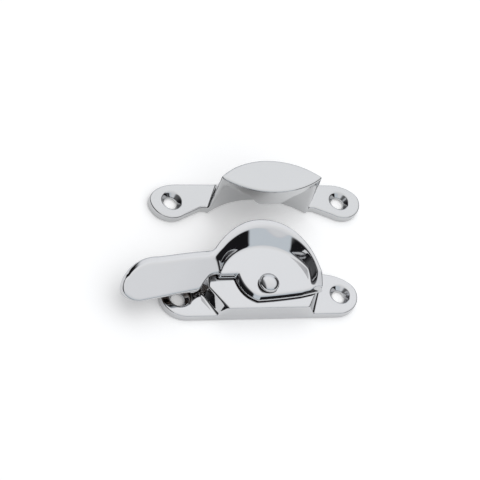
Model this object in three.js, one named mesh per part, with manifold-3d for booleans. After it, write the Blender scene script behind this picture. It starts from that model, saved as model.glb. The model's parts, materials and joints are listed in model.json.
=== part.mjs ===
// Fitch-pattern sash window fastener: a base plate with a turning snail cam and lever, and the
// separate hooked keep that the cam draws in. Millimetres, +Z up, +Y from the base towards the keep.
import * as THREE from 'three';
import { mergeVertices } from 'three/addons/utils/BufferGeometryUtils.js';
import Module from 'manifold-3d';

const wasm = await Module();
wasm.setup();

// Places of the two fixed castings on the sash rails; the rails' top is z = 0.
const PIVOT_AT = [2.21, -16.3];
const KEEP_AT = [8.38, 17.0];

// Screw holes, shared by both castings: a number 6 countersunk wood screw.
const SCREW_HOLE_RADIUS = 1.9;
const COUNTERSINK_RADIUS = 3.25;
const COUNTERSINK_DEPTH = 1.5;
const EAR_THICKNESS = 2.5;
const CASTING_DRAFT = 0.15;
const CUT_OVERSHOOT = 1;

// Base plate.
const BASE_HALF_LENGTH = 31.4;
const BASE_FRONT = -6.6;
const BASE_BACK = 7.3;
const BASE_END_Y = 0.3;
const BASE_BACK_CORNER = 11.7;
const BASE_FRONT_CORNER = 7.5;
const BASE_SCREW_X = 25.7;
const BOSS_TOP = 6.65;
const BOSS_FOOT = 2.2;
const BOSS_TOP_FRONT_X = 12.5;
const BOSS_FOOT_FRONT_X = 15.4;
const BOSS_TOP_RADIUS = 17.5;
const BOSS_FOOT_RADIUS = 18.6;
const BOSS_WIDEST_Y = 0.8;

// Pivot and the parts on it.
const CLEARANCE = 0.3;
const SHANK_RADIUS = 2.2;
const BORE_RADIUS = SHANK_RADIUS + CLEARANCE;
const RIVET_HEAD_RADIUS = 3.1;
const RIVET_HEAD_WALL = 0.4;
const RIVET_DOME = 2.0;
const RIVET_TAIL_RADIUS = 3.1;
const RIVET_TAIL_LOW = 0.2;
const RIVET_TAIL_HIGH = 0.8;
const COUNTERBORE_RADIUS = 5.6;
const COUNTERBORE_DEPTH = 3.1;
const WASHER_RADIUS = 5.1;
const WASHER_THICKNESS = 0.4;
const RETAINING_WASHER_Z = 1.1;
const SPRING_WASHER_Z = 1.8;
const SPRING_WASHER_RISE = 0.6;

// Cam: a snail-shaped rim round a crescent dish.
const CAM_BOTTOM = BOSS_TOP + CLEARANCE;
const FLOOR_TOP = 9.0;
const FLOOR_FRONT_LEFT = [-3.4, -4.2];
const FLOOR_NOTCH_X = -8.7;
const RIM_CREST = 13.9;
const RIM_CREST_ANGLE = 88;
const RIM_END_ANGLE = 154;
const RIM_FALL_TO_LEAD = 0.9;
const RIM_FALL_TO_LEVER = 1.9;
const LEAD_ANGLE = -5;
const LEAD_STEP = 0.6;
const LEAD_RAMP_PER_DEGREE = 0.24;
const DISH_ANGLES = [-30, 186];
const FOOT_CENTRE = [0.3, -3.4];
const FOOT_RADIUS = 16.2;
const FOOT_LEAD_RADIUS = 13.5;
const FOOT_LEAD_GROWTH_PER_DEGREE = 0.075;
const HUB_RADIUS = 9;
// The rim is a snail: [degrees from +X, inner radius at the top, outer radius], leading end first.
const SNAIL = [
  [-5, 15.1, 17.1],
  [16, 15.3, 16.7],
  [41, 16.2, 17.8],
  [68, 17.1, 19.3],
  [95, 17.0, 19.4],
  [125, 16.6, 18.6],
  [154, 17.4, 18.8],
  [186, 19.0, 19.6],
];
const INNER = 1;
const OUTER = 2;

// Lever: a bar with a broad sloping face, a crease, and a narrow strip along its back.
const LEVER_TIP_X = -45.2;
const LEVER_ROOT_X = -9;
const LEVER_TIP_Y = -0.6;
const LEVER_BOTTOM = 4.6;
const LEVER_TIP_LIFT = 1.2;
const LEVER_BACK_BOTTOM = 6.6;
const LEVER_FRONT_TOP = 7.0;
const LEVER_SWEEP_RADIUS = 19.4;
const LEVER_FRONT_CORNER_X = -39.6;
const LEVER_BACK_CORNER_X = -33.5;
const FACE_STEEPNESS_AT_NECK = 0.72;
const FACE_STEEPNESS_AT_TIP = 0.56;
const STRIP_WIDTH = 2.6;
const STRIP_FALL_AT_NECK = 0.3;
const STRIP_FALL_AT_TIP = 1.6;
const UNDERCUT_AT_NECK = 0.5;
const UNDERCUT_AT_TIP = 1.3;
const BACK_CHAMFER = 0.5;
const BACK_CHAMFER_DROP = 1.2;
const NECK_FRONT_Y = 3.7;
const NOTCH_X = -19.5;
const NOTCH_CORNER = 4.2;

// Keep.
const KEEP_SCREW_X = 27.5;
const KEEP_HALF_LENGTH = 34.4;
const KEEP_BACK = 5.9;
const KEEP_LOBE_X = 28;
const KEEP_LOBE_FRONT = -6.1;
const KEEP_WAIST = [18.6, -2.5];
const HOOD_TOP = 16.6;
const HOOD_ROOF_UNDERSIDE = 14.4;
const HOOD_HALF_WIDTH = 16.5;
const HOOD_FOOT_FRONT_CORNER_Y = -3.4;
const HOOD_TOP_CORNER_Y = -0.7;
const HOOD_FRONT_Y = -6.1;
const HOOD_TOP_BACK_Y = 5.3;
const HOOD_FOOT_BACK_X = 12.3;
const HOOD_SIDE_SHARE = 0.3;
const HOOD_FILLET = 0.35;
const THROAT_BACK_Y = 1.8;
const THROAT_REACH = 4;
const LIP_THICKNESS = 2.1;
const LIP_BOTTOM = 9.4;
const LIP_HALF_WIDTH = 4.2;
const LIP_SHOULDER_RISE = 3;
const LIP_END_RISE = 2.2;

const radians = THREE.MathUtils.degToRad;
const degreesOf = THREE.MathUtils.radToDeg;
const mix = THREE.MathUtils.lerp;
const clamp = THREE.MathUtils.clamp;
const smooth = THREE.MathUtils.smoothstep;

function plated(color, roughness) {
  return new THREE.MeshStandardMaterial({ color, roughness, metalness: 1 });
}

function solidOf(geometry) {
  const bare = geometry.clone();
  bare.deleteAttribute('normal');
  bare.deleteAttribute('uv');
  const merged = mergeVertices(bare, 1e-5);
  const vertProperties = new Float32Array(merged.attributes.position.array);
  const triVerts = new Uint32Array(merged.index.array);
  return new wasm.Manifold(new wasm.Mesh({ numProp: 3, vertProperties, triVerts }));
}

function geometryOf(solid) {
  const mesh = solid.getMesh();
  const positions = new THREE.BufferAttribute(new Float32Array(mesh.vertProperties), 3);
  const geometry = new THREE.BufferGeometry();
  geometry.setAttribute('position', positions);
  geometry.setIndex(new THREE.BufferAttribute(new Uint32Array(mesh.triVerts), 1));
  geometry.computeVertexNormals();
  return geometry;
}

function piece(name, geometry, material) {
  const mesh = new THREE.Mesh(geometry, material);
  mesh.name = name;
  return mesh;
}

// ---- Solids.

// A closed solid through rings of equally many points. The contour is the first ring drawn flat,
// anticlockwise, and the rings follow each other towards the side it is seen from.
function loft(rings, contour) {
  const count = contour.length;
  const positions = rings.flat().flatMap((point) => [point.x, point.y, point.z]);
  const index = [];
  for (let ring = 0; ring < rings.length - 1; ring += 1) {
    for (let side = 0; side < count; side += 1) {
      const a = ring * count + side;
      const b = ring * count + ((side + 1) % count);
      index.push(a, b, b + count, a, b + count, a + count);
    }
  }
  const last = (rings.length - 1) * count;
  for (const [a, b, c] of THREE.ShapeUtils.triangulateShape(contour, [])) {
    index.push(c, b, a);
    index.push(last + a, last + b, last + c);
  }
  const geometry = new THREE.BufferGeometry();
  geometry.setAttribute('position', new THREE.Float32BufferAttribute(positions, 3));
  geometry.setIndex(index);
  return solidOf(geometry);
}

// A solid through plan outlines at rising heights, given as [outline, z] pairs.
function stacked(levels) {
  const rings = levels.map(([outline, z]) => outline.map((point) => new THREE.Vector3(point.x, point.y, z)));
  return loft(rings, levels[0][0]);
}

function prism(outline, low, high) {
  return stacked([[outline, low], [outline, high]]);
}

// A bar along X, with sectionAt(x) giving [y, z] pairs, through rising places.
function barAlongX(places, sectionAt) {
  const sections = places.map((x) => sectionAt(x));
  const rings = sections.map((section, i) => section.map(([y, z]) => new THREE.Vector3(places[i], y, z)));
  return loft(rings, sections[0].map(([y, z]) => new THREE.Vector2(y, z)));
}

// A solid swept about the Z axis, with sectionAt(degrees) giving [radius, z] pairs.
function swept(fromDegrees, toDegrees, steps, sectionAt) {
  const rings = [];
  for (let step = 0; step <= steps; step += 1) {
    const degrees = mix(toDegrees, fromDegrees, step / steps);
    const angle = radians(degrees);
    const place = ([radius, z]) => new THREE.Vector3(radius * Math.cos(angle), radius * Math.sin(angle), z);
    rings.push(sectionAt(degrees).map(place));
  }
  return loft(rings, sectionAt(toDegrees).map(([radius, z]) => new THREE.Vector2(radius, z)));
}

// A solid of revolution about a vertical axis, from [radius, z] pairs.
function turned(profile, x = 0, sides = 32) {
  const points = profile.map(([radius, z]) => new THREE.Vector2(radius, z));
  return new THREE.LatheGeometry(points, sides).rotateX(Math.PI / 2).translate(x, 0, 0);
}

function drum(radius, low, high, sides = 32) {
  return solidOf(turned([[0, low], [radius, low], [radius, high], [0, high]], 0, sides));
}

function screwHole(x) {
  const low = -CUT_OVERSHOOT;
  const coneBottom = EAR_THICKNESS - COUNTERSINK_DEPTH;
  const high = EAR_THICKNESS + CUT_OVERSHOOT;
  const slope = (COUNTERSINK_RADIUS - SCREW_HOLE_RADIUS) / COUNTERSINK_DEPTH;
  const profile = [
    [0, low],
    [SCREW_HOLE_RADIUS, low],
    [SCREW_HOLE_RADIUS, coneBottom],
    [COUNTERSINK_RADIUS + slope * CUT_OVERSHOOT, high],
    [0, high],
  ];
  return solidOf(turned(profile, x, 28));
}

// ---- Outlines in plan, anticlockwise.

function arc([centreX, centreY], [radiusX, radiusY], fromDegrees, toDegrees, steps) {
  const points = [];
  for (let step = 0; step <= steps; step += 1) {
    const angle = radians(mix(fromDegrees, toDegrees, step / steps));
    points.push(new THREE.Vector2(centreX + radiusX * Math.cos(angle), centreY + radiusY * Math.sin(angle)));
  }
  return points;
}

// A quadratic curve, without its first point.
function bend(start, control, end, steps) {
  const [from, through, to] = [start, control, end].map(([x, y]) => new THREE.Vector2(x, y));
  return new THREE.QuadraticBezierCurve(from, through, to).getPoints(steps).slice(1);
}

// A whole outline from its right half, which goes from the front middle round to the back middle.
function mirrored(rightHalf) {
  const left = rightHalf.map((point) => new THREE.Vector2(-point.x, point.y)).reverse();
  return [...rightHalf, ...left];
}

// The circle through (+-halfChord, chordY) and (0, middleY).
function circleThrough(halfChord, chordY, middleY) {
  const sagitta = Math.abs(middleY - chordY);
  const radius = (halfChord * halfChord + sagitta * sagitta) / (2 * sagitta);
  const side = middleY > chordY ? 1 : -1;
  const centreY = middleY - side * radius;
  return { yAt: (x) => centreY + side * Math.sqrt(radius * radius - x * x) };
}

function circleArc(circle, fromX, toX, steps) {
  const points = [];
  for (let step = 0; step <= steps; step += 1) {
    const x = mix(fromX, toX, step / steps);
    points.push(new THREE.Vector2(x, circle.yAt(x)));
  }
  return points;
}

// ---- Base plate: two ears, a raised boss with sloping ends, screw holes and the pivot's bore.

function baseOutline(grow) {
  const end = BASE_HALF_LENGTH + grow;
  const front = BASE_FRONT - grow;
  const back = BASE_BACK + grow;
  const frontCentre = [end - BASE_FRONT_CORNER, BASE_END_Y];
  const backCentre = [end - BASE_BACK_CORNER, BASE_END_Y];
  const corner = arc(frontCentre, [BASE_FRONT_CORNER, BASE_END_Y - front], -90, 0, 8);
  const shoulder = arc(backCentre, [BASE_BACK_CORNER, back - BASE_END_Y], 0, 90, 10);
  return mirrored([...corner, ...shoulder.slice(1)]);
}

function bossOutline(frontX, radius) {
  const start = degreesOf(Math.asin(BOSS_WIDEST_Y / radius));
  const end = degreesOf(Math.asin(BASE_BACK / radius));
  return mirrored([new THREE.Vector2(frontX, BASE_FRONT), ...arc([0, 0], [radius, radius], start, end, 6)]);
}

function basePlate() {
  const ears = stacked([[baseOutline(CASTING_DRAFT), 0], [baseOutline(0), EAR_THICKNESS]]);
  const boss = stacked([
    [bossOutline(BOSS_FOOT_FRONT_X, BOSS_FOOT_RADIUS), BOSS_FOOT],
    [bossOutline(BOSS_TOP_FRONT_X, BOSS_TOP_RADIUS), BOSS_TOP],
  ]);
  const counterbore = drum(COUNTERBORE_RADIUS, -CUT_OVERSHOOT, COUNTERBORE_DEPTH);
  const bore = drum(BORE_RADIUS, 0, BOSS_TOP + CUT_OVERSHOOT);
  const holes = [counterbore, bore, screwHole(BASE_SCREW_X), screwHole(-BASE_SCREW_X)];
  return geometryOf(holes.reduce((body, hole) => body.subtract(hole), ears.add(boss)));
}

// ---- Pivot rivet and its washers, on the Z axis.

function pivotRivet() {
  const seat = FLOOR_TOP + CLEARANCE;
  const profile = [
    [0, RIVET_TAIL_LOW],
    [RIVET_TAIL_RADIUS, RIVET_TAIL_LOW],
    [RIVET_TAIL_RADIUS, RIVET_TAIL_HIGH],
    [SHANK_RADIUS, RIVET_TAIL_HIGH],
    [SHANK_RADIUS, seat],
    [RIVET_HEAD_RADIUS, seat],
  ];
  const domeSteps = 7;
  for (let step = 0; step < domeSteps; step += 1) {
    const angle = (step / domeSteps) * (Math.PI / 2);
    profile.push([RIVET_HEAD_RADIUS * Math.cos(angle), seat + RIVET_HEAD_WALL + RIVET_DOME * Math.sin(angle)]);
  }
  profile.push([0, seat + RIVET_HEAD_WALL + RIVET_DOME]);
  return turned(profile);
}

// A washer whose middle stands higher than its edge by rise.
function washer(low, rise) {
  const high = low + WASHER_THICKNESS;
  return turned([
    [BORE_RADIUS, low + rise],
    [WASHER_RADIUS, low],
    [WASHER_RADIUS, high],
    [BORE_RADIUS, high + rise],
    [BORE_RADIUS, low + rise],
  ]);
}

// ---- Cam and lever, one casting turning about the Z axis.

// A smooth radius against angle through one column of SNAIL.
function snailCurve(column) {
  const curve = new THREE.SplineCurve(SNAIL.map((row) => new THREE.Vector2(row[0], row[column])));
  const samples = curve.getPoints(140);
  return (degrees) => {
    const next = samples.findIndex((point) => point.x >= degrees);
    if (next <= 0) return samples[0].y;
    const before = samples[next - 1];
    return mix(before.y, samples[next].y, (degrees - before.x) / (samples[next].x - before.x));
  };
}

const innerRadius = snailCurve(INNER);
const outerRadius = snailCurve(OUTER);

// The height of the rim: a ramp up from the leading end, then a low crown.
function rimTop(degrees) {
  const past = clamp(degrees, LEAD_ANGLE, RIM_END_ANGLE);
  const fall = past > RIM_CREST_ANGLE ? RIM_FALL_TO_LEVER : RIM_FALL_TO_LEAD;
  const crown = RIM_CREST - fall * ((past - RIM_CREST_ANGLE) / (RIM_END_ANGLE - RIM_CREST_ANGLE)) ** 2;
  const ramp = FLOOR_TOP + LEAD_STEP + (past - LEAD_ANGLE) * LEAD_RAMP_PER_DEGREE;
  return Math.min(crown, ramp);
}

// Distance from the pivot to the foot of the dish's wall: an offset circle, held in on the leading side.
function dishFoot(degrees) {
  const angle = radians(degrees);
  const [centreX, centreY] = FOOT_CENTRE;
  const along = centreX * Math.cos(angle) + centreY * Math.sin(angle);
  const across = centreX * Math.sin(angle) - centreY * Math.cos(angle);
  const leadSide = FOOT_LEAD_RADIUS + FOOT_LEAD_GROWTH_PER_DEGREE * Math.max(degrees, 0);
  return Math.min(along + Math.sqrt(FOOT_RADIUS ** 2 - across ** 2), leadSide);
}

function rim() {
  return swept(LEAD_ANGLE, RIM_END_ANGLE, 40, (degrees) => [
    [HUB_RADIUS, CAM_BOTTOM],
    [outerRadius(degrees), CAM_BOTTOM],
    [outerRadius(degrees), rimTop(degrees)],
    [HUB_RADIUS, rimTop(degrees)],
  ]);
}

// What the dish takes out: everything above its floor and inside its leaning wall.
function dish() {
  const axisRadius = 0.5;
  const top = RIM_CREST + CUT_OVERSHOOT;
  return swept(...DISH_ANGLES, 54, (degrees) => {
    const height = Math.max(rimTop(degrees) - FLOOR_TOP, CUT_OVERSHOOT);
    const lean = (innerRadius(degrees) - dishFoot(degrees)) / height;
    return [
      [axisRadius, FLOOR_TOP],
      [dishFoot(degrees), FLOOR_TOP],
      [dishFoot(degrees) + lean * (top - FLOOR_TOP), top],
      [axisRadius, top],
    ];
  });
}

function floorOutline() {
  const lead = radians(LEAD_ANGLE);
  const leadRadius = outerRadius(LEAD_ANGLE);
  const backRadius = 11;
  const neckX = -14;
  const neckBackY = 6;
  return [
    new THREE.Vector2(leadRadius * Math.cos(lead), leadRadius * Math.sin(lead)),
    ...arc([0, 0], [backRadius, backRadius], 20, RIM_END_ANGLE, 12),
    new THREE.Vector2(neckX, neckBackY),
    new THREE.Vector2(neckX, NECK_FRONT_Y),
    new THREE.Vector2(FLOOR_NOTCH_X, NECK_FRONT_Y),
    ...bend([FLOOR_NOTCH_X, NECK_FRONT_Y], [-8.2, -2.2], FLOOR_FRONT_LEFT, 10),
    ...bend(FLOOR_FRONT_LEFT, [3, -3.9], [10.6, -2.9], 10),
  ];
}

function leverFrontLine(x) {
  return -0.4 + 0.19 * (x + 20);
}

function leverBackLine(x) {
  return 8.8 + 0.1 * (x + 30);
}

// An edge of the lever that runs straight and then rounds the tip as a quarter of an ellipse.
function leverEdge(x, line, cornerX) {
  if (x > cornerX) return line(x);
  const along = Math.min((cornerX - x) / (cornerX - LEVER_TIP_X), 1);
  return LEVER_TIP_Y + (line(cornerX) - LEVER_TIP_Y) * Math.sqrt(1 - along * along);
}

function leverSection(x) {
  const front = leverEdge(x, leverFrontLine, LEVER_FRONT_CORNER_X);
  const back = leverEdge(x, leverBackLine, LEVER_BACK_CORNER_X);
  const width = back - front;
  const crease = back - Math.min(STRIP_WIDTH, width / 3);
  const steepness = mix(FACE_STEEPNESS_AT_NECK, FACE_STEEPNESS_AT_TIP, smooth(-x, 18, 36));
  const creaseTop = LEVER_FRONT_TOP + steepness * (crease - leverFrontLine(x));
  const stripTop = creaseTop - mix(STRIP_FALL_AT_NECK, STRIP_FALL_AT_TIP, smooth(-x, 34, 45));
  const bottom = LEVER_BOTTOM + LEVER_TIP_LIFT * smooth(-x, 38, 45);
  const undercut = Math.min(mix(UNDERCUT_AT_NECK, UNDERCUT_AT_TIP, smooth(-x, 20, 28)), width / 4);
  const backBottom = mix(LEVER_BACK_BOTTOM, bottom + 0.6, smooth(-x, 40, 45));
  return [
    [front + undercut, bottom],
    [back - Math.min(0.6, width / 8), backBottom],
    [back, Math.max(stripTop - BACK_CHAMFER_DROP, backBottom + 0.4)],
    [back - Math.min(BACK_CHAMFER, width / 10), Math.max(stripTop, backBottom + 0.9)],
    [crease, creaseTop],
    [front, Math.min(LEVER_FRONT_TOP, creaseTop)],
  ];
}

function lever() {
  const straightSteps = 8;
  const tipSteps = 12;
  const tipGap = 0.06;
  const places = [];
  for (let step = 0; step < straightSteps; step += 1) {
    places.push(mix(LEVER_ROOT_X, LEVER_BACK_CORNER_X, step / straightSteps));
  }
  for (let step = 0; step <= tipSteps; step += 1) {
    const along = Math.sin((step / tipSteps) * (Math.PI / 2));
    places.push(mix(LEVER_BACK_CORNER_X, LEVER_TIP_X + tipGap, along));
  }
  const overBoss = drum(LEVER_SWEEP_RADIUS, 0, CAM_BOTTOM, 64);
  const outOfTheWay = { x: 4, y: -12, z: 20 };
  const notchCorner = [NOTCH_X + NOTCH_CORNER, NECK_FRONT_Y];
  const notch = [
    new THREE.Vector2(NOTCH_X, outOfTheWay.y),
    new THREE.Vector2(outOfTheWay.x, outOfTheWay.y),
    new THREE.Vector2(outOfTheWay.x, NECK_FRONT_Y),
    new THREE.Vector2(...notchCorner),
    ...bend(notchCorner, [NOTCH_X + 0.2, NECK_FRONT_Y - 0.4], [NOTCH_X, -1], 8),
  ];
  return barAlongX(places.reverse(), leverSection).subtract(overBoss).subtract(prism(notch, 0, outOfTheWay.z));
}

function camLever() {
  const floor = prism(floorOutline(), CAM_BOTTOM, FLOOR_TOP);
  const bore = drum(BORE_RADIUS, 0, RIM_CREST);
  return geometryOf(rim().add(floor).add(lever()).subtract(dish()).subtract(bore));
}

// ---- Keep: a screw plate with a hood, open in front and below, and a hooked lip under its front edge.

function keepOutline(grow) {
  const end = KEEP_HALF_LENGTH + grow;
  const lobeRadiusX = end - KEEP_LOBE_X;
  const shoulderRunOn = 3;
  const frontRunIn = 4;
  const lobe = arc([KEEP_LOBE_X, 0], [lobeRadiusX, -KEEP_LOBE_FRONT + grow], -125, 0, 9);
  const shoulderRadii = [lobeRadiusX + shoulderRunOn, KEEP_BACK + grow];
  const shoulder = arc([KEEP_LOBE_X - shoulderRunOn, 0], shoulderRadii, 0, 90, 8);
  const waist = new THREE.Vector2(KEEP_WAIST[0], KEEP_WAIST[1] - grow);
  const runIn = new THREE.Vector2(waist.x - frontRunIn, waist.y);
  return mirrored([runIn, waist, ...lobe, ...shoulder.slice(1)]);
}

// The foot of the hood's side and back: a straight side, then a straight back, around from 0 to 1.
function hoodFoot(around) {
  if (around >= HOOD_SIDE_SHARE) {
    const alongBack = (around - HOOD_SIDE_SHARE) / (1 - HOOD_SIDE_SHARE);
    return new THREE.Vector2(mix(HOOD_FOOT_BACK_X, 0, alongBack), KEEP_BACK);
  }
  const alongSide = around / HOOD_SIDE_SHARE;
  return new THREE.Vector2(
    mix(HOOD_HALF_WIDTH, HOOD_FOOT_BACK_X, alongSide),
    mix(HOOD_FOOT_FRONT_CORNER_Y, KEEP_BACK, alongSide),
  );
}

// The hood's outer outline at a height share t, from its foot (0) to its top (1).
function hoodOutline(t) {
  const steps = 10;
  const cornerY = mix(HOOD_FOOT_FRONT_CORNER_Y, HOOD_TOP_CORNER_Y, t);
  const front = circleArc(circleThrough(HOOD_HALF_WIDTH, cornerY, HOOD_FRONT_Y), 0, HOOD_HALF_WIDTH, steps);
  const topBack = circleThrough(HOOD_HALF_WIDTH, HOOD_TOP_CORNER_Y, HOOD_TOP_BACK_Y);
  const back = circleArc(topBack, HOOD_HALF_WIDTH, 0, steps);
  const blended = back.map((point, step) => hoodFoot(step / steps).lerp(point, t));
  return mirrored([...front.slice(1, -1), ...blended.slice(0, -1)]);
}

// The foot of the hood, spread sideways a little as a casting fillet where it meets the ears.
function filletOutline(t) {
  const spread = (HOOD_HALF_WIDTH + HOOD_FILLET) / HOOD_HALF_WIDTH;
  return hoodOutline(t).map((point) => new THREE.Vector2(point.x * spread, point.y));
}

function lipBottom(x) {
  const away = Math.abs(x);
  const shoulder = LIP_SHOULDER_RISE * smooth(away, LIP_HALF_WIDTH - 1.4, LIP_HALF_WIDTH + 3.4);
  return LIP_BOTTOM + shoulder + LIP_END_RISE * smooth(away, 6, 14.5);
}

function lip() {
  const steps = 28;
  const end = HOOD_HALF_WIDTH - 1;
  const high = HOOD_ROOF_UNDERSIDE + 0.6;
  const hoodFront = circleThrough(HOOD_HALF_WIDTH, HOOD_TOP_CORNER_Y, HOOD_FRONT_Y);
  const places = [];
  for (let step = 0; step <= steps; step += 1) {
    places.push(mix(-end, end, step / steps));
  }
  return barAlongX(places, (x) => {
    const front = hoodFront.yAt(x) - CUT_OVERSHOOT;
    const back = hoodFront.yAt(x) + LIP_THICKNESS;
    return [[front, lipBottom(x)], [back, lipBottom(x)], [back, high], [front, high]];
  });
}

function throat() {
  const throatBack = circleThrough(HOOD_HALF_WIDTH, HOOD_FOOT_FRONT_CORNER_Y, THROAT_BACK_Y);
  const outline = [
    new THREE.Vector2(-HOOD_HALF_WIDTH, HOOD_FRONT_Y - THROAT_REACH),
    new THREE.Vector2(HOOD_HALF_WIDTH, HOOD_FRONT_Y - THROAT_REACH),
    ...circleArc(throatBack, HOOD_HALF_WIDTH, -HOOD_HALF_WIDTH, 24),
  ];
  return prism(outline, -CUT_OVERSHOOT, HOOD_ROOF_UNDERSIDE);
}

function keepPlate() {
  const plate = stacked([[keepOutline(CASTING_DRAFT), 0], [keepOutline(0), EAR_THICKNESS]]);
  const earLevel = EAR_THICKNESS / HOOD_TOP;
  const filletTop = (EAR_THICKNESS + 2 * HOOD_FILLET) / HOOD_TOP;
  const levels = [[filletOutline(0), 0], [filletOutline(earLevel), EAR_THICKNESS]];
  const steps = 5;
  for (let step = 0; step <= steps; step += 1) {
    const t = mix(filletTop, 1, step / steps);
    levels.push([hoodOutline(t), HOOD_TOP * t]);
  }
  const cuts = [throat().subtract(lip()), screwHole(KEEP_SCREW_X), screwHole(-KEEP_SCREW_X)];
  return geometryOf(cuts.reduce((body, hole) => body.subtract(hole), plate.add(stacked(levels))));
}

// ---- Assembly.

const base = new THREE.Group();
base.position.set(...PIVOT_AT, 0);
base.add(
  piece('base_plate', basePlate(), plated(0xd8d9dc, 0.08)),
  piece('cam_lever', camLever(), plated(0xd4d5d9, 0.08)),
  piece('pivot_rivet', pivotRivet(), plated(0xcfd0d3, 0.1)),
  piece('spring_washer', washer(SPRING_WASHER_Z, SPRING_WASHER_RISE), plated(0x9a9b9c, 0.3)),
  piece('retaining_washer', washer(RETAINING_WASHER_Z, 0), plated(0xc2a25a, 0.3)),
);

const keep = new THREE.Group();
keep.position.set(...KEEP_AT, 0);
keep.add(piece('keep_plate', keepPlate(), plated(0xd6d7da, 0.08)));

const fastener = new THREE.Group();
fastener.add(base, keep);

export default fastener;
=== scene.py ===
"""Looks of the fitch-pattern sash window fastener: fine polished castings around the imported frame.

Every casting is written as a signed distance field in millimetres about its own origin, and meshed
from it, so that all its edges come out softly rounded, as polishing leaves them.
"""

import json
import math

import bmesh
import bpy
import numpy as np
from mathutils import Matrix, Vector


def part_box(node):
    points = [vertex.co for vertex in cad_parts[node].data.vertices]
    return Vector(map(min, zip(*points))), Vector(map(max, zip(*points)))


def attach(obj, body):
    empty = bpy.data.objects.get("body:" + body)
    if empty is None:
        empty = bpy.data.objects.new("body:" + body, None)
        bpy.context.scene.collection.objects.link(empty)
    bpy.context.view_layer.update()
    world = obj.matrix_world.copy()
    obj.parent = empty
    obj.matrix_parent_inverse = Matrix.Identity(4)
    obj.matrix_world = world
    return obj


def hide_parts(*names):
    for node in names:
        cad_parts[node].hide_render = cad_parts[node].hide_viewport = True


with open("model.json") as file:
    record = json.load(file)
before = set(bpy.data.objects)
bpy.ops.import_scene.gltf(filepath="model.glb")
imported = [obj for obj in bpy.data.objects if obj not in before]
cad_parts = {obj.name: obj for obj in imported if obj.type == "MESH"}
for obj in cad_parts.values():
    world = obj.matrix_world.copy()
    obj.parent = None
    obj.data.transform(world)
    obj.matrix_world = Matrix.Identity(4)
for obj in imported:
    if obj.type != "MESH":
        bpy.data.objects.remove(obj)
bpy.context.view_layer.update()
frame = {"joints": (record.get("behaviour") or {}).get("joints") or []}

import openvdb
from mathutils import Matrix, Vector

MILLIMETRE = 0.001
VOXEL = 0.16
BLUR_PASSES = 2

# Screw holes and ears, shared by both castings.
SCREW_HOLE_RADIUS = 1.9
COUNTERSINK_RADIUS = 3.25
COUNTERSINK_DEPTH = 1.5
EAR_THICKNESS = 2.5
CASTING_DRAFT = 0.15
EAR_EDGE = 0.45
HOLE_EDGE = 0.12

# Base plate.
BASE_HALF_LENGTH = 31.4
BASE_FRONT = -6.6
BASE_BACK = 7.3
BASE_END_Y = 0.3
BASE_BACK_CORNER = 11.7
BASE_FRONT_CORNER = 7.5
BASE_SCREW_X = 25.7
BOSS_TOP = 6.65
BOSS_FOOT = 2.2
BOSS_TOP_FRONT_X = 12.5
BOSS_FOOT_FRONT_X = 15.4
BOSS_TOP_RADIUS = 17.5
BOSS_FOOT_RADIUS = 18.6
BOSS_WIDEST_Y = 0.8
BOSS_EDGE = 0.45
BOSS_FILLET = 0.5
COUNTERBORE_RADIUS = 5.6
COUNTERBORE_DEPTH = 3.1
BORE_RADIUS = 2.5

# Rivet and washers.
SHANK_RADIUS = 2.2
RIVET_HEAD_RADIUS = 3.1
RIVET_SEAT_Z = 9.3
RIVET_HEAD_WALL = 0.4
RIVET_DOME = 2.0
RIVET_TAIL_RADIUS = 3.1
RIVET_TAIL_Z = (0.2, 0.8)
WASHER_RADIUS = 5.1
RETAINING_WASHER_Z = (1.1, 1.5)
SPRING_WASHER_Z = (1.8, 2.2)
SPRING_WASHER_RISE = 0.6

# Cam: a snail rim around a crescent dish.
CAM_BOTTOM = 6.95
FLOOR_TOP = 9.0
FLOOR_FRONT_LEFT = (-3.4, -4.2)
FLOOR_NOTCH_X = -8.7
FLOOR_BACK_RADIUS = 11
FLOOR_FILLET = 0.3
FLOOR_GROWTH = 0.5
FLOOR_CHAMFER = 0.65
FLOOR_CHAMFER_Z = 7.4
RIM_CREST = 13.9
RIM_CREST_ANGLE = 88
RIM_FALL = (0.9, 1.9)
RIM_END_ANGLE = 154
LEAD_ANGLE = -5
LEAD_STEP = 0.6
LEAD_RAMP_PER_DEGREE = 0.24
FOOT_CENTRE = (0.3, -3.4)
FOOT_RADIUS = 16.2
FOOT_LEAD_RADIUS = 13.5
FOOT_LEAD_GROWTH_PER_DEGREE = 0.075
RIM_EDGE = 0.5
RIM_TO_LEVER_FILLET = 1.2
DISH_EDGE = 0.4
DISH_FOOT = 0.5
WALL_BULGE = 1.12
# [degrees from +X, inner radius at the top, outer radius], leading end first.
SNAIL = [
    (-5, 15.1, 17.1),
    (16, 15.3, 16.7),
    (41, 16.2, 17.8),
    (68, 17.1, 19.3),
    (95, 17.0, 19.4),
    (125, 16.6, 18.6),
    (154, 17.4, 18.8),
    (186, 19.0, 19.6),
]

# Lever.
LEVER_TIP_X = -45.2
LEVER_ROOT_X = -9
LEVER_TIP_Y = -0.6
LEVER_BOTTOM = 4.6
LEVER_TIP_LIFT = 1.2
LEVER_BACK_BOTTOM = 6.6
LEVER_FRONT_TOP = 7.0
LEVER_SWEEP_RADIUS = 19.4
LEVER_FRONT_CORNER_X = -39.6
LEVER_BACK_CORNER_X = -33.5
FACE_STEEPNESS = (0.72, 0.56)
UNDERCUT = (0.5, 1.3)
STRIP_WIDTH = 2.6
STRIP_FALL = (0.3, 1.3)
LEVER_EDGE = 0.8
CREASE_EDGE = 0.3
UNDERSIDE_EDGE = 0.4
SWEEP_EDGE = 0.2
NECK_FRONT_Y = 3.7
NECK_UNDERCUT = 0.7
NECK_UNDERCUT_Z = 8.6
NOTCH_X = -19.5
NOTCH_CORNER = 4.2
NOTCH_EDGE = 0.4

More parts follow.
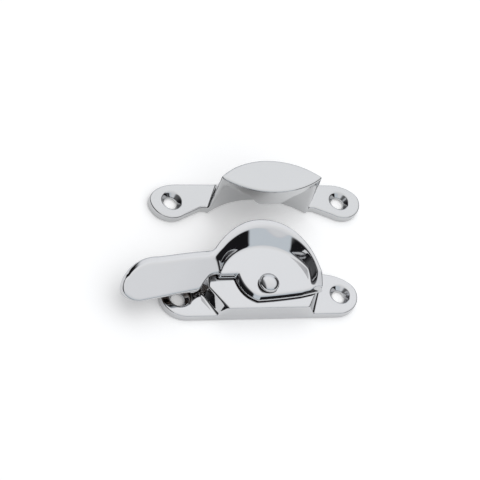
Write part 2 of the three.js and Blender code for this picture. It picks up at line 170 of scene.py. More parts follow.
# Keep.
KEEP_SCREW_X = 27.5
KEEP_HALF_LENGTH = 34.4
KEEP_BACK = 5.9
KEEP_LOBE_X = 28
KEEP_LOBE_FRONT = -6.1
KEEP_WAIST = (18.6, -2.5)
HOOD_TOP = 16.6
HOOD_ROOF_UNDERSIDE = 14.4
HOOD_HALF_WIDTH = 16.5
HOOD_FOOT_FRONT_CORNER_Y = -3.4
HOOD_TOP_CORNER_Y = -0.7
HOOD_FRONT_Y = -6.1
HOOD_TOP_BACK_Y = 5.3
HOOD_FOOT_BACK_X = 12.3
HOOD_SIDE_SHARE = 0.3
HOOD_LEVELS = 5
HOOD_EDGE = 0.6
HOOD_FILLET = 0.9
THROAT_BACK_Y = 1.8
THROAT_REACH = 6
THROAT_EDGE = 0.5
THROAT_FILLET = 1.2
LIP_THICKNESS = 2.1
LIP_BOTTOM = 9.4
LIP_HALF_WIDTH = 4.2
LIP_SHOULDER_RISE = 3
LIP_END_RISE = 2.2
LIP_EDGE = 0.5
LIP_FILLET = 0.6

# Camera: where it stands and how it is turned, in degrees.
CAMERA_AT = (-0.2263, -0.2887, 0.4717)
CAMERA_AZIMUTH = -37.78
CAMERA_ELEVATION = 51.82
CAMERA_ROLL = 31.08
CAMERA_LENS = 149.9

# Light: the tent's grey against the height of a direction, and its strength at the front and back.
OVERHEAD = ((0.3, 0.012), (0.4, 0.3), (0.5, 0.9), (0.75, 1.0))
TENT_STRENGTH = (1.09, 1.26)
# Pale cards round the table: direction, cosines where a card begins and is full, and colour; the heights
# of a direction between which their feet fade in; and where the tent grows dark on the left.
CARDS = (
    ((0.10, -0.90, 0.42), 0.76, 0.82, (0.76, 0.82, 0.87)),
    ((0.32, 0.91, 0.22), 0.84, 0.93, (0.80, 0.83, 0.87)),
)
CARD_FOOT = (0.10, 0.16)
LEFT_SHADE = (-0.35, -0.7)
DARK = (0.012, 0.012, 0.014, 1)
FLOOR_GLOW = 0.24


# ---- Distance fields: negative inside. x, y and z are arrays that broadcast together.


def mix(a, b, t):
    return a + (b - a) * t


def smooth(value, low, high):
    t = np.clip((value - low) / (high - low), 0, 1)
    return t * t * (3 - 2 * t)


def meet(a, b, radius):
    """What lies in both, with the edge between them rounded."""
    corner = np.hypot(np.maximum(a + radius, 0), np.maximum(b + radius, 0))
    return np.minimum(-radius, np.maximum(a, b)) + corner


def join(a, b, radius):
    """What lies in either, with a fillet between them."""
    return -meet(-a, -b, radius)


def cut(a, b, radius):
    """What lies in a and not in b, with the new edge rounded."""
    return meet(a, -b, radius)


def outline_distance(outline, x, y):
    """Distance in plan to a closed outline of (x, y) points."""
    nearest = np.inf
    inside = np.zeros(np.broadcast(x, y).shape, bool)
    for (ax, ay), (bx, by) in zip(outline, outline[1:] + outline[:1]):
        dx, dy = bx - ax, by - ay
        length2 = dx * dx + dy * dy
        if length2 < 1e-12:
            continue
        along = np.clip(((x - ax) * dx + (y - ay) * dy) / length2, 0, 1)
        nearest = np.minimum(nearest, (x - ax - dx * along) ** 2 + (y - ay - dy * along) ** 2)
        if ay != by:
            crosses = (ay > y) != (by > y)
            inside ^= crosses & (x < ax + dx * (y - ay) / dy)
    return np.where(inside, -1, 1) * np.sqrt(nearest)


def arc(centre, radii, from_degrees, to_degrees, steps):
    points = []
    for step in range(steps + 1):
        angle = math.radians(mix(from_degrees, to_degrees, step / steps))
        points.append((centre[0] + radii[0] * math.cos(angle), centre[1] + radii[1] * math.sin(angle)))
    return points


def bend(start, control, end, steps):
    """A quadratic curve, without its first point."""
    points = []
    for step in range(1, steps + 1):
        t = step / steps
        shares = ((1 - t) ** 2, 2 * t * (1 - t), t * t)
        points.append(tuple(np.dot(shares, values) for values in zip(start, control, end)))
    return points


def mirrored(right_half):
    """A whole outline from its right half, which goes from the front middle to the back middle."""
    return right_half + [(-x, y) for x, y in reversed(right_half)]


def screw_hole(centre_x, x, y, z):
    cone_bottom = EAR_THICKNESS - COUNTERSINK_DEPTH
    slope = (COUNTERSINK_RADIUS - SCREW_HOLE_RADIUS) / COUNTERSINK_DEPTH
    radius = SCREW_HOLE_RADIUS + slope * np.maximum(z - cone_bottom, 0)
    return np.maximum(np.hypot(x - centre_x, y) - radius, z - EAR_THICKNESS - 1)


def blurred(values):
    """The field after a few passes of a small blur along each axis."""
    for _ in range(BLUR_PASSES):
        for axis in range(3):
            first = np.take(values, [0], axis)
            last = np.take(values, [-1], axis)
            before = np.concatenate([first, np.delete(values, -1, axis)], axis)
            after = np.concatenate([np.delete(values, 0, axis), last], axis)
            values = (before + 2 * values + after) / 4
    return values


def sampled(values, points):
    """The field at points given in voxels, between its voxels."""
    corner = np.clip(np.floor(points).astype(int), 0, np.array(values.shape) - 2)
    share = points - corner
    total = 0
    for dx in (0, 1):
        for dy in (0, 1):
            for dz in (0, 1):
                step = np.array((dx, dy, dz))
                weight = np.abs(1 - step - share).prod(1)
                total = total + weight * values[tuple((corner + step).T)]
    return total


def slope_of(values, points):
    columns = []
    for axis in np.eye(3):
        columns.append(sampled(values, points + axis / 2) - sampled(values, points - axis / 2))
    return np.stack(columns, 1)


def mesh_object(name, vertices, faces, normals=None):
    mesh = bpy.data.meshes.new(name)
    mesh.from_pydata(vertices.tolist(), [], faces.tolist())
    mesh.validate()
    mesh.shade_smooth()
    if normals is not None:
        mesh.normals_split_custom_set_from_vertices(normals.tolist())
    piece = bpy.data.objects.new(name, mesh)
    bpy.context.scene.collection.objects.link(piece)
    return piece


def casting(name, field, low, high, origin):
    """The surface of a field inside a box in millimetres, about origin in metres."""
    counts = [int(math.ceil((b - a) / VOXEL)) + 1 for a, b in zip(low, high)]
    x, y, z = (
        (a + VOXEL * np.arange(count, dtype=np.float32)).reshape([-1 if axis == i else 1 for i in range(3)])
        for axis, (a, count) in enumerate(zip(low, counts))
    )
    values = np.broadcast_to(field(x, y, z), counts).astype(np.float32)
    values = blurred(values)
    grid = openvdb.FloatGrid(1.0)
    grid.copyFromArray(values)
    points, quads = grid.convertToQuads(0.0)
    points = points.astype(float)
    slope = slope_of(values, points)
    points -= (sampled(values, points) / (slope**2).sum(1))[:, None] * slope
    slope = slope_of(values, points)
    normals = slope / np.linalg.norm(slope, axis=1)[:, None]
    first, second, third = (points[quads[:, i]] for i in range(3))
    facing = np.cross(second - first, third - first)
    if (facing * normals[quads[:, 0]]).sum() < 0:
        quads = quads[:, ::-1]
    vertices = (points * VOXEL + np.array(low)) * MILLIMETRE + np.array(origin)
    return mesh_object(name, vertices, quads, normals)


def turned(name, profile, origin, sides=96):
    """A closed solid of revolution from [radius, z] pairs, in millimetres about origin in metres."""
    mesh = bpy.data.meshes.new(name)
    shape = bmesh.new()
    angles = [2 * math.pi * side / sides for side in range(sides)]
    rings = []
    for radius, z in profile:
        if radius == 0:
            rings.append([shape.verts.new((0, 0, z))] * sides)
        else:
            rings.append([shape.verts.new((radius * math.cos(a), radius * math.sin(a), z)) for a in angles])
    closed = profile[0][0] != 0
    following = rings[1:] + (rings[:1] if closed else [])
    for ring, upper in zip(rings, following):
        for side in range(sides):
            after = (side + 1) % sides
            corners = [ring[side], ring[after], upper[after], upper[side]]
            shape.faces.new(list(dict.fromkeys(corners)))
    bmesh.ops.recalc_face_normals(shape, faces=shape.faces)
    for vertex in shape.verts:
        vertex.co = Vector(origin) + vertex.co * MILLIMETRE
    shape.to_mesh(mesh)
    shape.free()
    mesh.shade_smooth()
    piece = bpy.data.objects.new(name, mesh)
    bpy.context.scene.collection.objects.link(piece)
    return piece


# ---- Base plate.


def base_outline():
    front_x = BASE_HALF_LENGTH - BASE_FRONT_CORNER
    back_x = BASE_HALF_LENGTH - BASE_BACK_CORNER
    corner = arc((front_x, BASE_END_Y), (BASE_FRONT_CORNER, BASE_END_Y - BASE_FRONT), -90, 0, 40)
    shoulder = arc((back_x, BASE_END_Y), (BASE_BACK_CORNER, BASE_BACK - BASE_END_Y), 0, 90, 50)
    return mirrored(corner + shoulder[1:])


def boss_ends(front_x, radius):
    """The boss in plan, with its two end walls in place and its front and back run on beyond the plate."""
    beyond = 8
    widest_x = math.sqrt(radius**2 - BOSS_WIDEST_Y**2)
    lean = (widest_x - front_x) / (BOSS_WIDEST_Y - BASE_FRONT)
    start = math.degrees(math.asin(BOSS_WIDEST_Y / radius))
    end = math.degrees(math.asin((BASE_BACK + beyond) / radius))
    front_corner = (front_x - lean * beyond, BASE_FRONT - beyond)
    return mirrored([front_corner] + arc((0, 0), (radius, radius), start, end, 50))


def base_field(x, y, z):
    below_ear_top = np.clip(1 - z / EAR_THICKNESS, 0, 1)
    side = outline_distance(base_outline(), x, y) - CASTING_DRAFT * below_ear_top
    up = np.clip((z - BOSS_FOOT) / (BOSS_TOP - BOSS_FOOT), 0, 1)
    foot = outline_distance(boss_ends(BOSS_FOOT_FRONT_X, BOSS_FOOT_RADIUS), x, y)
    top = outline_distance(boss_ends(BOSS_TOP_FRONT_X, BOSS_TOP_RADIUS), x, y)
    boss = meet(mix(foot, top, up), z - BOSS_TOP, BOSS_EDGE)
    body = meet(side, join(z - EAR_THICKNESS, boss, BOSS_FILLET), EAR_EDGE)
    body = np.maximum(body, -z)
    from_axis = np.hypot(x, y)
    body = np.maximum(body, -np.maximum(from_axis - COUNTERBORE_RADIUS, z - COUNTERBORE_DEPTH))
    body = np.maximum(body, BORE_RADIUS - from_axis)
    for screw_x in (-BASE_SCREW_X, BASE_SCREW_X):
        body = cut(body, screw_hole(screw_x, x, y, z), HOLE_EDGE)
    return body


# ---- Cam and lever.


def snail_radius(column, degrees):
    """A smooth radius against angle through one column of SNAIL."""
    known = np.array(SNAIL, float)
    last = len(known) - 1
    samples = []
    for i in range(last):
        p0, p1, p2, p3 = (known[j][[0, column]] for j in (max(i - 1, 0), i, i + 1, min(i + 2, last)))
        for t in np.arange(0, 1, 0.05):
            start, finish = (p2 - p0) / 2, (p3 - p1) / 2
            samples.append(
                (2 * p1 - 2 * p2 + start + finish) * t**3
                + (3 * p2 - 3 * p1 - 2 * start - finish) * t**2
                + start * t
                + p1
            )
    samples.append(known[last][[0, column]])
    samples = np.array(samples)
    return np.interp(degrees, samples[:, 0], samples[:, 1])


def rim_top(degrees):
    past = np.clip(degrees, LEAD_ANGLE, RIM_END_ANGLE)
    fall = np.where(past > RIM_CREST_ANGLE, RIM_FALL[1], RIM_FALL[0])
    crown = RIM_CREST - fall * ((past - RIM_CREST_ANGLE) / (RIM_END_ANGLE - RIM_CREST_ANGLE)) ** 2
    ramp = FLOOR_TOP + LEAD_STEP + (past - LEAD_ANGLE) * LEAD_RAMP_PER_DEGREE
    return np.minimum(crown, ramp)


def dish_foot(degrees):
    """Distance from the axis to the foot of the dish's wall."""
    angle = np.radians(degrees)
    along = FOOT_CENTRE[0] * np.cos(angle) + FOOT_CENTRE[1] * np.sin(angle)
    across = FOOT_CENTRE[0] * np.sin(angle) - FOOT_CENTRE[1] * np.cos(angle)
    lead_side = FOOT_LEAD_RADIUS + FOOT_LEAD_GROWTH_PER_DEGREE * np.maximum(degrees, 0)
    return np.minimum(along + np.sqrt(FOOT_RADIUS**2 - across**2), lead_side)


def floor_outline():
    lead = math.radians(LEAD_ANGLE)
    lead_radius = SNAIL[0][2]
    lead_corner = (lead_radius * math.cos(lead), lead_radius * math.sin(lead))
    neck_x, neck_back_y = -14, 6
    points = [lead_corner] + arc((0, 0), (FLOOR_BACK_RADIUS, FLOOR_BACK_RADIUS), 20, RIM_END_ANGLE, 30)
    points += [(neck_x, neck_back_y), (neck_x, NECK_FRONT_Y), (FLOOR_NOTCH_X, NECK_FRONT_Y)]
    points += bend(points[-1], (-8.2, -2.2), FLOOR_FRONT_LEFT, 20)
    points += bend(FLOOR_FRONT_LEFT, (3, -3.9), (10.6, -2.9), 20)
    return points


def lever_front_line(x):
    return -0.4 + 0.19 * (x + 20)


def lever_back_line(x):
    return 8.8 + 0.1 * (x + 30)


def lever_edge(x, line, corner_x):
    """An edge that runs straight and then rounds the tip as a quarter of an ellipse."""
    along = np.clip((corner_x - x) / (corner_x - LEVER_TIP_X), 0, 1)
    rounded = LEVER_TIP_Y + (line(corner_x) - LEVER_TIP_Y) * np.sqrt(1 - along * along)
    return np.where(x > corner_x, line(x), rounded)


def lever_outline():
    def edge(line, corner_x):
        straight = [(x, line(x)) for x in (LEVER_ROOT_X, corner_x)]
        turn = []
        for step in range(1, 41):
            angle = step / 40 * math.pi / 2
            x = mix(corner_x, LEVER_TIP_X, math.sin(angle))
            turn.append((x, LEVER_TIP_Y + (line(corner_x) - LEVER_TIP_Y) * math.cos(angle)))
        return straight + turn

    front = edge(lever_front_line, LEVER_FRONT_CORNER_X)
    back = edge(lever_back_line, LEVER_BACK_CORNER_X)
    return front + back[-2::-1]


def lever_field(x, y, z):
    front = lever_edge(x, lever_front_line, LEVER_FRONT_CORNER_X)
    back = lever_edge(x, lever_back_line, LEVER_BACK_CORNER_X)
    width = np.maximum(back - front, 0.1)
    crease = back - np.minimum(STRIP_WIDTH, width / 3)
    steepness = mix(*FACE_STEEPNESS, smooth(-x, 18, 36))
    broad_face = LEVER_FRONT_TOP + steepness * (y - lever_front_line(x))
    crease_top = LEVER_FRONT_TOP + steepness * (crease - lever_front_line(x))
    strip_slope = mix(*STRIP_FALL, smooth(-x, 34, 45)) / STRIP_WIDTH
    strip = crease_top - strip_slope * (y - crease)
    top = meet((z - broad_face) / np.hypot(1, steepness), (z - strip) / np.hypot(1, strip_slope), CREASE_EDGE)
    bottom = LEVER_BOTTOM + LEVER_TIP_LIFT * smooth(-x, 38, 45)
    undercut = np.minimum(mix(*UNDERCUT, smooth(-x, 20, 28)), width / 4)
    on_front = 1 - smooth((y - front) / width, 0.2, 0.8)
    lean = undercut * on_front * np.clip((LEVER_FRONT_TOP - z) / (LEVER_FRONT_TOP - bottom), 0, 1)
    side = outline_distance(lever_outline(), x, y) + lean
    back_bottom = mix(LEVER_BACK_BOTTOM, bottom + 0.6, smooth(-x, 40, 45))
    underside = mix(bottom, back_bottom, np.clip((y - front) / width, 0, 1)) - z
    bar = meet(meet(side, top, LEVER_EDGE), underside, UNDERSIDE_EDGE)
    beyond_x, beyond_y = 4, -12
    notch = [(NOTCH_X, beyond_y), (beyond_x, beyond_y), (beyond_x, NECK_FRONT_Y)]
    notch += [(NOTCH_X + NOTCH_CORNER, NECK_FRONT_Y)]
    notch += bend(notch[-1], (NOTCH_X + 0.2, NECK_FRONT_Y - 0.4), (NOTCH_X, -1), 20)
    below_neck = NECK_UNDERCUT * np.maximum(NECK_UNDERCUT_Z - z, 0)
    notch_distance = (outline_distance(notch, x, y) - below_neck) / np.hypot(1, NECK_UNDERCUT)
    return cut(bar, notch_distance, NOTCH_EDGE)


def cam_lever_field(x, y, z):
    from_axis = np.hypot(x, y)
    degrees = np.degrees(np.arctan2(y, x))
    degrees = np.where(degrees < -90, degrees + 360, degrees)
    inner = snail_radius(1, degrees)
    outer = snail_radius(2, degrees)
    top = rim_top(degrees)
    foot = dish_foot(degrees)

    lead, end = math.radians(LEAD_ANGLE), math.radians(RIM_END_ANGLE)
    before_lead = math.sin(lead) * x - math.cos(lead) * y
    after_end = math.cos(end) * y - math.sin(end) * x
    rim = meet(from_axis - outer, z - top, RIM_EDGE)
    rim = np.maximum(rim, np.maximum(before_lead, after_end))
    body = join(rim, lever_field(x, y, z), RIM_TO_LEVER_FILLET)
    front = outline_distance(floor_outline(), x, y) - FLOOR_GROWTH
    chamfer = (front + FLOOR_CHAMFER * (z - FLOOR_CHAMFER_Z)) / np.hypot(1, FLOOR_CHAMFER)
    floor = np.maximum(np.maximum(front, chamfer), z - FLOOR_TOP - 0.5)
    body = join(body, floor, FLOOR_FILLET)

    wall_height = np.maximum(top - FLOOR_TOP, 1)
    up = np.maximum(z - FLOOR_TOP, 0) / wall_height
    reach = (inner - foot) * np.where(up < 1, up**WALL_BULGE, 1 + WALL_BULGE * (up - 1))
    lean = (inner - foot) / wall_height * WALL_BULGE * np.clip(up, 0.05, 1) ** (WALL_BULGE - 1)
    wall = (from_axis - foot - reach) / np.hypot(1, lean)
    dish = meet(wall, FLOOR_TOP - z, DISH_FOOT)
    body = cut(body, dish, DISH_EDGE)
    over_boss = np.maximum(from_axis - LEVER_SWEEP_RADIUS, z - CAM_BOTTOM)
    body = cut(body, over_boss, SWEEP_EDGE)
    return np.maximum(body, BORE_RADIUS - from_axis)


# ---- Keep.


def keep_outline():
    lobe_radius_x = KEEP_HALF_LENGTH - KEEP_LOBE_X
    lobe = arc((KEEP_LOBE_X, 0), (lobe_radius_x, -KEEP_LOBE_FRONT), -125, 0, 50)
    shoulder = arc((KEEP_LOBE_X - 3, 0), (lobe_radius_x + 3, KEEP_BACK), 0, 90, 50)
    return mirrored([(KEEP_WAIST[0] - 4, KEEP_WAIST[1]), KEEP_WAIST] + lobe + shoulder[1:])


def chord_arc(half_chord, chord_y, middle_y, from_x, to_x, steps):
    """Points along a circle through (+-half_chord, chord_y) and (0, middle_y)."""
    sagitta = abs(middle_y - chord_y)
    radius = (half_chord**2 + sagitta**2) / (2 * sagitta)
    side = 1 if middle_y > chord_y else -1
    centre_y = middle_y - side * radius
    return [
        (x, centre_y + side * math.sqrt(radius**2 - x * x))
        for x in (mix(from_x, to_x, step / steps) for step in range(steps + 1))
    ]


def hood_outline(t):
    """The hood's outer outline at a height share t, from its foot (0) to its top (1)."""
    steps = 30
    corner_y = mix(HOOD_FOOT_FRONT_CORNER_Y, HOOD_TOP_CORNER_Y, t)
    front = chord_arc(HOOD_HALF_WIDTH, corner_y, HOOD_FRONT_Y, 0, HOOD_HALF_WIDTH, steps)
    back = chord_arc(HOOD_HALF_WIDTH, HOOD_TOP_CORNER_Y, HOOD_TOP_BACK_Y, HOOD_HALF_WIDTH, 0, steps)
    foot = []
    for step in range(steps + 1):
        around = step / steps
        if around < HOOD_SIDE_SHARE:
            along = around / HOOD_SIDE_SHARE
            foot_x = mix(HOOD_HALF_WIDTH, HOOD_FOOT_BACK_X, along)
            foot.append((foot_x, mix(HOOD_FOOT_FRONT_CORNER_Y, KEEP_BACK, along)))
        else:
            foot.append((HOOD_FOOT_BACK_X * (1 - around) / (1 - HOOD_SIDE_SHARE), KEEP_BACK))
    blended = [(mix(fx, bx, t), mix(fy, by, t)) for (fx, fy), (bx, by) in zip(foot, back)]
    return mirrored(front[1:-1] + blended[:-1])


def keep_field(x, y, z):
    below_ear_top = np.clip(1 - z / EAR_THICKNESS, 0, 1)
    plate = outline_distance(keep_outline(), x, y) - CASTING_DRAFT * below_ear_top
    plate = meet(plate, z - EAR_THICKNESS, EAR_EDGE)
    up = np.clip(z / HOOD_TOP, 0, 1) * HOOD_LEVELS
    hood = 0
    for level in range(HOOD_LEVELS + 1):
        distance = outline_distance(hood_outline(level / HOOD_LEVELS), x, y)
        hood = hood + distance * np.clip(1 - np.abs(up - level), 0, 1)
    hood = meet(hood, z - HOOD_TOP, HOOD_EDGE)
    body = join(plate, hood, HOOD_FILLET)

    side, reach_y = HOOD_HALF_WIDTH, HOOD_FRONT_Y - THROAT_REACH
    throat_outline = [(-side, reach_y), (side, reach_y)]
    throat_outline += chord_arc(side, HOOD_FOOT_FRONT_CORNER_Y, THROAT_BACK_Y, side, -side, 80)
    throat = meet(outline_distance(throat_outline, x, y), z - HOOD_ROOF_UNDERSIDE, THROAT_FILLET)
    sagitta = HOOD_TOP_CORNER_Y - HOOD_FRONT_Y
    front_radius = (HOOD_HALF_WIDTH**2 + sagitta**2) / (2 * sagitta)
    behind_front = front_radius - np.hypot(x, y - HOOD_FRONT_Y - front_radius)
    away = np.abs(x)
    lip_bottom = LIP_BOTTOM + LIP_SHOULDER_RISE * smooth(away, LIP_HALF_WIDTH - 1.4, LIP_HALF_WIDTH + 3.4)
    lip_bottom = lip_bottom + LIP_END_RISE * smooth(away, 6, 14.5)
    lip = meet(behind_front - LIP_THICKNESS, lip_bottom - z, LIP_EDGE)
    throat = cut(throat, lip, LIP_FILLET)
    body = cut(body, throat, THROAT_EDGE)
    body = np.maximum(body, -z)
    for screw_x in (-KEEP_SCREW_X, KEEP_SCREW_X):
        body = cut(body, screw_hole(screw_x, x, y, z), HOLE_EDGE)
    return body


# ---- Materials.


def chrome(name, tint, roughness, ripple):
    """Polished plating: a mirror with a faint ripple and haze, and painted shade, a dark brown colour, where
    it faces down.
    """
    material = bpy.data.materials.new(name)
    material.use_nodes = True
    nodes, links = material.node_tree.nodes, material.node_tree.links
    shader = nodes["Principled BSDF"]
    shader.inputs["Metallic"].default_value = 1.0
    place = nodes.new("ShaderNodeTexCoord")

    haze = nodes.new("ShaderNodeTexNoise")
    haze.inputs["Scale"].default_value = 60
    haze.inputs["Detail"].default_value = 4
    links.new(place.outputs["Object"], haze.inputs["Vector"])
    dullness = nodes.new("ShaderNodeMapRange")
    dullness.inputs["From Min"].default_value = 0.35
    dullness.inputs["From Max"].default_value = 0.75
    dullness.inputs["To Min"].default_value = roughness
    dullness.inputs["To Max"].default_value = roughness + 0.05
    links.new(haze.outputs["Fac"], dullness.inputs["Value"])
    links.new(dullness.outputs["Result"], shader.inputs["Roughness"])

    plating = nodes.new("ShaderNodeMix")
    plating.data_type = "RGBA"
    plating.inputs["A"].default_value = (*tint, 1)
    plating.inputs["B"].default_value = (*(0.96 * value for value in tint), 1)
    links.new(haze.outputs["Fac"], plating.inputs["Factor"])

    # Painted shade: faces that point down are given a dark brown colour, standing in for the shade under the
    # castings.
    facing = nodes.new("ShaderNodeNewGeometry")
    height = nodes.new("ShaderNodeSeparateXYZ")
    links.new(facing.outputs["Normal"], height.inputs["Vector"])
    facing_down_share = nodes.new("ShaderNodeMapRange")
    facing_down_share.inputs["From Min"].default_value = -0.35
    facing_down_share.inputs["From Max"].default_value = -0.65
    links.new(height.outputs["Z"], facing_down_share.inputs["Value"])
    underside_shade_mix = nodes.new("ShaderNodeMix")
    underside_shade_mix.data_type = "RGBA"
    underside_shade_mix.inputs["B"].default_value = (0.06, 0.045, 0.038, 1)
    links.new(facing_down_share.outputs["Result"], underside_shade_mix.inputs["Factor"])
    links.new(plating.outputs["Result"], underside_shade_mix.inputs["A"])
    links.new(underside_shade_mix.outputs["Result"], shader.inputs["Base Color"])

    swell = nodes.new("ShaderNodeTexNoise")
    swell.inputs["Scale"].default_value = 220
    swell.inputs["Detail"].default_value = 1
    links.new(place.outputs["Object"], swell.inputs["Vector"])
    bump = nodes.new("ShaderNodeBump")
    bump.inputs["Strength"].default_value = ripple
    bump.inputs["Distance"].default_value = 0.0004
    links.new(swell.outputs["Fac"], bump.inputs["Height"])
    links.new(bump.outputs["Normal"], shader.inputs["Normal"])
    return material


def dress(piece, material, body, node):
    piece.data.materials.append(material)
    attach(piece, body)
    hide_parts(node)


# ---- The pieces.

pivot = Vector(next(joint["pos_m"] for joint in frame["joints"] if joint["name"] == "cam_turn"))
pivot.z = 0
keep_low, keep_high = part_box("keep_plate")
keep_at = Vector(((keep_low.x + keep_high.x) / 2, keep_high.y - (KEEP_BACK + CASTING_DRAFT) * MILLIMETRE, 0))

bright = chrome("polished_chrome", (0.58, 0.583, 0.593), 0.03, 0.04)
keep_chrome = chrome("keep_chrome", (0.55, 0.555, 0.56), 0.03, 0.04)
steel = chrome("spring_steel", (0.42, 0.42, 0.42), 0.25, 0.1)
brass = chrome("plain_brass", (0.62, 0.45, 0.2), 0.25, 0.1)

base_plate = casting("base_plate_casting", base_field, (-33, -8, -1), (33, 9, 8), pivot)
dress(base_plate, bright, "base", "base_plate")

cam_lever = casting("cam_lever_casting", cam_lever_field, (-47, -8, 3.4), (22, 21.5, 15.2), pivot)
dress(cam_lever, bright, "lever", "cam_lever")

keep_plate = casting("keep_casting", keep_field, (-36, -8, -1), (36, 8, 18), keep_at)
dress(keep_plate, keep_chrome, "keep", "keep_plate")


def rivet_profile():
    profile = [(0, RIVET_TAIL_Z[0]), (RIVET_TAIL_RADIUS - 0.2, RIVET_TAIL_Z[0])]
    profile += [(RIVET_TAIL_RADIUS, RIVET_TAIL_Z[0] + 0.2), (RIVET_TAIL_RADIUS, RIVET_TAIL_Z[1] - 0.1)]
    profile += [(SHANK_RADIUS, RIVET_TAIL_Z[1]), (SHANK_RADIUS, RIVET_SEAT_Z - 0.1)]
    profile += [(SHANK_RADIUS + 0.1, RIVET_SEAT_Z), (RIVET_HEAD_RADIUS - 0.15, RIVET_SEAT_Z)]
    wall_top = RIVET_SEAT_Z + RIVET_HEAD_WALL
    profile += [(RIVET_HEAD_RADIUS, RIVET_SEAT_Z + 0.15)]
    for radius, z in arc((0, wall_top), (RIVET_HEAD_RADIUS, RIVET_DOME), 0, 90, 24):
        profile.append((max(radius, 0) if radius > 1e-6 else 0, z))
    return profile


pivot_rivet = turned("pivot_rivet_turned", rivet_profile(), pivot)
dress(pivot_rivet, bright, "base", "pivot_rivet")


def washer_profile(low, high, rise):
    inner, outer, ease = BORE_RADIUS, WASHER_RADIUS, 0.08
    corners = [(inner + ease, low + rise), (outer - ease, low), (outer, low + ease), (outer, high - ease)]
    corners += [(outer - ease, high), (inner + ease, high + rise), (inner, high + rise - ease)]
    return corners + [(inner, low + rise + ease)]


spring_washer = turned("spring_washer_pressed", washer_profile(*SPRING_WASHER_Z, SPRING_WASHER_RISE), pivot)
dress(spring_washer, steel, "base", "spring_washer")

retaining_washer = turned("retaining_washer_pressed", washer_profile(*RETAINING_WASHER_Z, 0), pivot)
dress(retaining_washer, brass, "base", "retaining_washer")


# ---- Stage: floor, tent of light and camera.


def pale_floor():
    shape = bmesh.new()
    bmesh.ops.create_grid(shape, x_segments=8, y_segments=8, size=3)
    mesh = bpy.data.meshes.new("floor")
    shape.to_mesh(mesh)
    shape.free()
    floor = bpy.data.objects.new("floor", mesh)
    bpy.context.scene.collection.objects.link(floor)
    material = bpy.data.materials.new("pale_floor")
    material.use_nodes = True
    shader = material.node_tree.nodes["Principled BSDF"]
    shader.inputs["Base Color"].default_value = (0.9, 0.9, 0.9, 1)
    shader.inputs["Roughness"].default_value = 0.9
    shader.inputs["Emission Color"].default_value = (1, 1, 1, 1)
    shader.inputs["Emission Strength"].default_value = FLOOR_GLOW
    floor.data.materials.append(material)


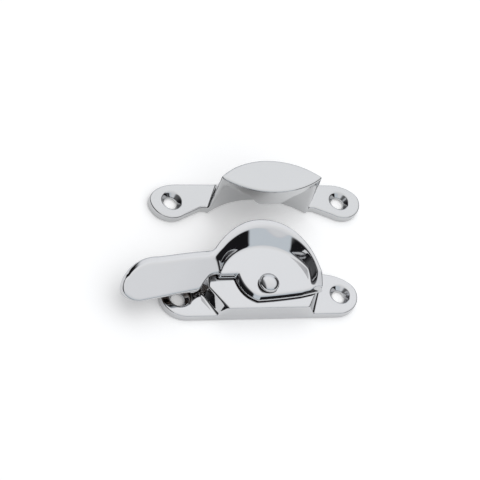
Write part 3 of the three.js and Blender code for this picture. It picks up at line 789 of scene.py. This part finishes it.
def light_tent():
    """A white tent, bright overhead and dark near the table, with pale cards standing round it."""
    world = bpy.data.worlds.new("light_tent")
    bpy.context.scene.world = world
    world.use_nodes = True
    nodes, links = world.node_tree.nodes, world.node_tree.links
    place = nodes.new("ShaderNodeTexCoord")
    parts = nodes.new("ShaderNodeSeparateXYZ")
    links.new(place.outputs["Generated"], parts.inputs["Vector"])
    ramp = nodes.new("ShaderNodeValToRGB")
    elements = ramp.color_ramp.elements
    elements[0].position, elements[0].color = 0.0, DARK
    elements[1].position, elements[1].color = 1.0, (1, 1, 1, 1)
    for position, grey in OVERHEAD:
        stop = elements.new(position)
        stop.color = (grey, grey * 1.01, grey * 1.03, 1)
    links.new(parts.outputs["Z"], ramp.inputs["Fac"])
    shade = nodes.new("ShaderNodeMapRange")
    shade.interpolation_type = "SMOOTHSTEP"
    shade.inputs["From Min"].default_value = LEFT_SHADE[0]
    shade.inputs["From Max"].default_value = LEFT_SHADE[1]
    shade.inputs["To Max"].default_value = 0.85
    links.new(parts.outputs["X"], shade.inputs["Value"])
    shaded = nodes.new("ShaderNodeMix")
    shaded.data_type = "RGBA"
    shaded.inputs["B"].default_value = DARK
    links.new(shade.outputs["Result"], shaded.inputs["Factor"])
    links.new(ramp.outputs["Color"], shaded.inputs["A"])
    light = shaded.outputs["Result"]
    above_foot = nodes.new("ShaderNodeMapRange")
    above_foot.interpolation_type = "SMOOTHSTEP"
    above_foot.inputs["From Min"].default_value = CARD_FOOT[0]
    above_foot.inputs["From Max"].default_value = CARD_FOOT[1]
    links.new(parts.outputs["Z"], above_foot.inputs["Value"])
    for direction, edge, full, color in CARDS:
        toward = nodes.new("ShaderNodeVectorMath")
        toward.operation = "DOT_PRODUCT"
        toward.inputs[1].default_value = Vector(direction).normalized()
        links.new(place.outputs["Generated"], toward.inputs[0])
        share = nodes.new("ShaderNodeMapRange")
        share.interpolation_type = "SMOOTHSTEP"
        share.inputs["From Min"].default_value = edge
        share.inputs["From Max"].default_value = full
        links.new(toward.outputs["Value"], share.inputs["Value"])
        links.new(above_foot.outputs["Result"], share.inputs["To Max"])
        lit = nodes.new("ShaderNodeMix")
        lit.data_type = "RGBA"
        lit.blend_type = "LIGHTEN"
        lit.inputs["B"].default_value = (*color, 1)
        links.new(share.outputs["Result"], lit.inputs["Factor"])
        links.new(light, lit.inputs["A"])
        light = lit.outputs["Result"]
    background = nodes["Background"]
    links.new(light, background.inputs["Color"])
    lean = nodes.new("ShaderNodeMapRange")
    lean.inputs["From Min"].default_value = -0.6
    lean.inputs["From Max"].default_value = 0.6
    lean.inputs["To Min"].default_value = TENT_STRENGTH[0]
    lean.inputs["To Max"].default_value = TENT_STRENGTH[1]
    links.new(parts.outputs["Y"], lean.inputs["Value"])
    links.new(lean.outputs["Result"], background.inputs["Strength"])


def camera():
    data = bpy.data.cameras.new("camera")
    data.sensor_width = 36
    data.lens = CAMERA_LENS
    data.clip_start, data.clip_end = 0.01, 20
    holder = bpy.data.objects.new("camera", data)
    azimuth, elevation, roll = map(math.radians, (CAMERA_AZIMUTH, CAMERA_ELEVATION, CAMERA_ROLL))
    out = math.cos(elevation)
    back = Vector((math.sin(azimuth) * out, -math.cos(azimuth) * out, math.sin(elevation)))
    level = Vector((math.cos(azimuth), math.sin(azimuth), 0))
    upright = back.cross(level)
    right = math.cos(roll) * level + math.sin(roll) * upright
    up = back.cross(right)
    holder.matrix_world = Matrix.Translation(CAMERA_AT) @ Matrix((right, up, back)).transposed().to_4x4()
    bpy.context.scene.collection.objects.link(holder)
    bpy.context.scene.camera = holder


pale_floor()
light_tent()
camera()
bpy.context.scene.view_settings.view_transform = "Standard"
